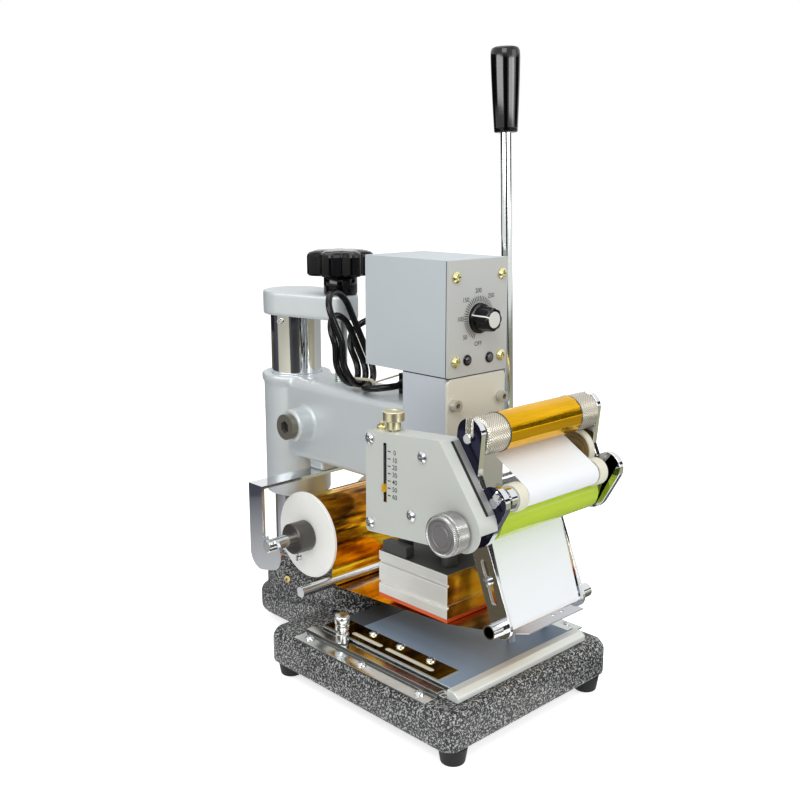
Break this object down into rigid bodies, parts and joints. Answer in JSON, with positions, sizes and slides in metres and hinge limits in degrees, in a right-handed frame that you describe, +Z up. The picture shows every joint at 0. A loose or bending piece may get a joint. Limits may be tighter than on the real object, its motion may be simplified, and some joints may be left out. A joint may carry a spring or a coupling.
{
  "type": "hot foil stamping machine",
  "caption": "Bench hot foil stamping press: hand lever and rack drive a heated die down on a sliding table; rollers pull foil off a rear roll; height set by a star knob.",
  "frame": {"origin": "centre of the base slab in plan, in the plane the rubber feet stand on", "axes": "+X to the machine's right where the lever is, -Y towards the operator, +Z up"},
  "size_m": [0.2188, 0.3872, 0.5711],
  "materials": {
    "hammertone": "dark speckled hammertone paint",
    "silver_paint": "silver hammered paint",
    "chrome": "polished chrome plate",
    "steel": "ground steel",
    "sheet": "zinc plated sheet",
    "aluminium": "milled aluminium",
    "blue_plate": "blue-grey satin paint",
    "cover_grey": "pale blue-grey satin paint",
    "champagne": "champagne anodised",
    "casing_grey": "warm grey silk paint",
    "brass": "turned brass",
    "black_plastic": "gloss black",
    "black_rubber": "matte black",
    "cord_black": "satin black sheath",
    "cream_band": "cream band",
    "lamp_lens": "dark lens",
    "ceramic": "dark insulating ceramic",
    "phenolic": "pale phenolic body",
    "silicone": "orange silicone",
    "green_sleeve": "translucent lime polyurethane",
    "cream_ring": "cream rubber",
    "wheel_rubber": "brown rubber",
    "white_plastic": "white",
    "gold_film": "metallised gold film",
    "carrier_film": "pale carrier film"
  },
  "bodies": {
    "base": {"base_casting": "hammertone", "rubber_feet": "black_rubber", "post": "chrome", "post_cap": "silver_paint", "base_screws": "steel", "slide_rails": "sheet"},
    "table": {"table_carriage": "sheet", "table_plate": "blue_plate", "front_bar": "aluminium", "gauge_plate": "chrome", "side_lay": "chrome"},
    "table_lock": {"lock_nut": "steel"},
    "height_adjuster": {"height_screw": "steel", "star_knob": "black_plastic"},
    "arm": {"arm_casting": "silver_paint", "arm_screws": "steel", "ram_housing": "silver_paint", "front_plate": "champagne", "control_cover": "cover_grey", "control_panel": "champagne", "panel_screws": "brass", "pilot_lamps": "lamp_lens", "thermostat": "phenolic", "cable_gland": "cord_black", "cord_lead": "cord_black", "cord_hank": "cord_black", "cord_tie": "cream_band", "mains_plug": "cord_black", "return_spring": "steel", "left_bracket": "chrome", "right_bracket": "chrome", "bracket_spacers": "steel", "feed_casing": "casing_grey", "guide_arms": "sheet", "guide_rods": "chrome", "foil_web": "carrier_film", "supply_yoke": "sheet"},
    "lever": {"lever_shaft": "steel", "lever_rod": "chrome", "lever_grip": "black_plastic"},
    "ram_and_heater": {"ram": "steel", "insulators": "ceramic", "heater_block": "aluminium", "cartridge_heaters": "steel", "die_plate": "aluminium", "silicone_pad": "silicone"},
    "dial": {"dial_knob": "black_plastic"},
    "feed_stop_screw": {"feed_screw": "brass"},
    "feed_stop": {"feed_pointer": "brass"},
    "drive_roller": {"drive_shaft": "steel", "drive_sleeve": "green_sleeve", "hand_knob": "steel"},
    "press_roller": {"press_shaft": "chrome", "press_rings": "cream_ring"},
    "friction_wheel": {"friction_wheel": "wheel_rubber"},
    "takeup": {"takeup_roller": "aluminium", "takeup_film": "gold_film"},
    "supply": {"supply_axle": "steel", "supply_flanges": "white_plastic", "foil_roll": "gold_film"}
  },
  "joints": [
    {"name": "table_slide", "type": "slide", "parent": "base", "child": "table", "axis": [0, -1, 0], "range_m": [0, 0.06]},
    {"name": "table_lock_turn", "type": "hinge", "parent": "base", "child": "table_lock", "pos_m": [-0.084, 0.035, 0.06], "axis": [0, 0, 1], "range_deg": [0, 300]},
    {"name": "height_screw_turn", "type": "hinge", "parent": "base", "child": "height_adjuster", "pos_m": [0, 0.131, 0.35], "axis": [0, 0, 1], "range_deg": [-865, 1441]},
    {"name": "arm_slide", "type": "slide", "parent": "base", "child": "arm", "axis": [0, 0, 1], "range_m": [-0.007, 0.0042]},
    {"name": "lever_swing", "type": "hinge", "parent": "arm", "child": "lever", "pos_m": [0, -0.0045, 0.23], "axis": [1, 0, 0], "range_deg": [0, 90]},
    {"name": "ram_slide", "type": "slide", "parent": "arm", "child": "ram_and_heater", "axis": [0, 0, -1], "range_m": [0, 0.0152], "stiffness_N_per_m": 1500, "springref_m": -0.03, "deforming": ["return_spring", "foil_web"]},
    {"name": "dial_turn", "type": "hinge", "parent": "arm", "child": "dial", "pos_m": [0.0005, -0.0463, 0.344], "axis": [0, 1, 0], "range_deg": [-108, 120]},
    {"name": "feed_screw_turn", "type": "hinge", "parent": "arm", "child": "feed_stop_screw", "pos_m": [-0.0855, -0.034, 0.23], "axis": [0, 0, 1], "range_deg": [-2161, 9721]},
    {"name": "feed_stop_slide", "type": "slide", "parent": "arm", "child": "feed_stop", "axis": [0, 0, 1], "range_m": [-0.006, 0.027]},
    {"name": "drive_turn", "type": "hinge", "parent": "arm", "child": "drive_roller", "pos_m": [0, -0.1135, 0.198], "axis": [1, 0, 0], "continuous": true},
    {"name": "press_turn", "type": "hinge", "parent": "arm", "child": "press_roller", "pos_m": [0, -0.13124, 0.21914], "axis": [1, 0, 0], "continuous": true},
    {"name": "friction_wheel_turn", "type": "hinge", "parent": "arm", "child": "friction_wheel", "pos_m": [0.062, -0.1038, 0.23111], "axis": [1, 0, 0], "continuous": true},
    {"name": "takeup_turn", "type": "hinge", "parent": "arm", "child": "takeup", "pos_m": [0, -0.1065, 0.265], "axis": [1, 0, 0], "continuous": true},
    {"name": "supply_turn", "type": "hinge", "parent": "arm", "child": "supply", "pos_m": [0, 0.129, 0.121], "axis": [1, 0, 0], "continuous": true}
  ],
  "couplings": [
    {"joint": "height_screw_turn", "follows": "arm_slide", "rad_per_m": -3590.4},
    {"joint": "ram_slide", "follows": "lever_swing", "m_per_rad": 0.0096},
    {"joint": "feed_screw_turn", "follows": "feed_stop_slide", "rad_per_m": 6283.2},
    {"joint": "press_turn", "follows": "drive_turn", "ratio": -1.4159},
    {"joint": "friction_wheel_turn", "follows": "drive_turn", "ratio": -0.87912},
    {"joint": "takeup_turn", "follows": "drive_turn", "ratio": 1.0323},
    {"joint": "supply_turn", "follows": "drive_turn", "ratio": 0.43243}
  ]
}
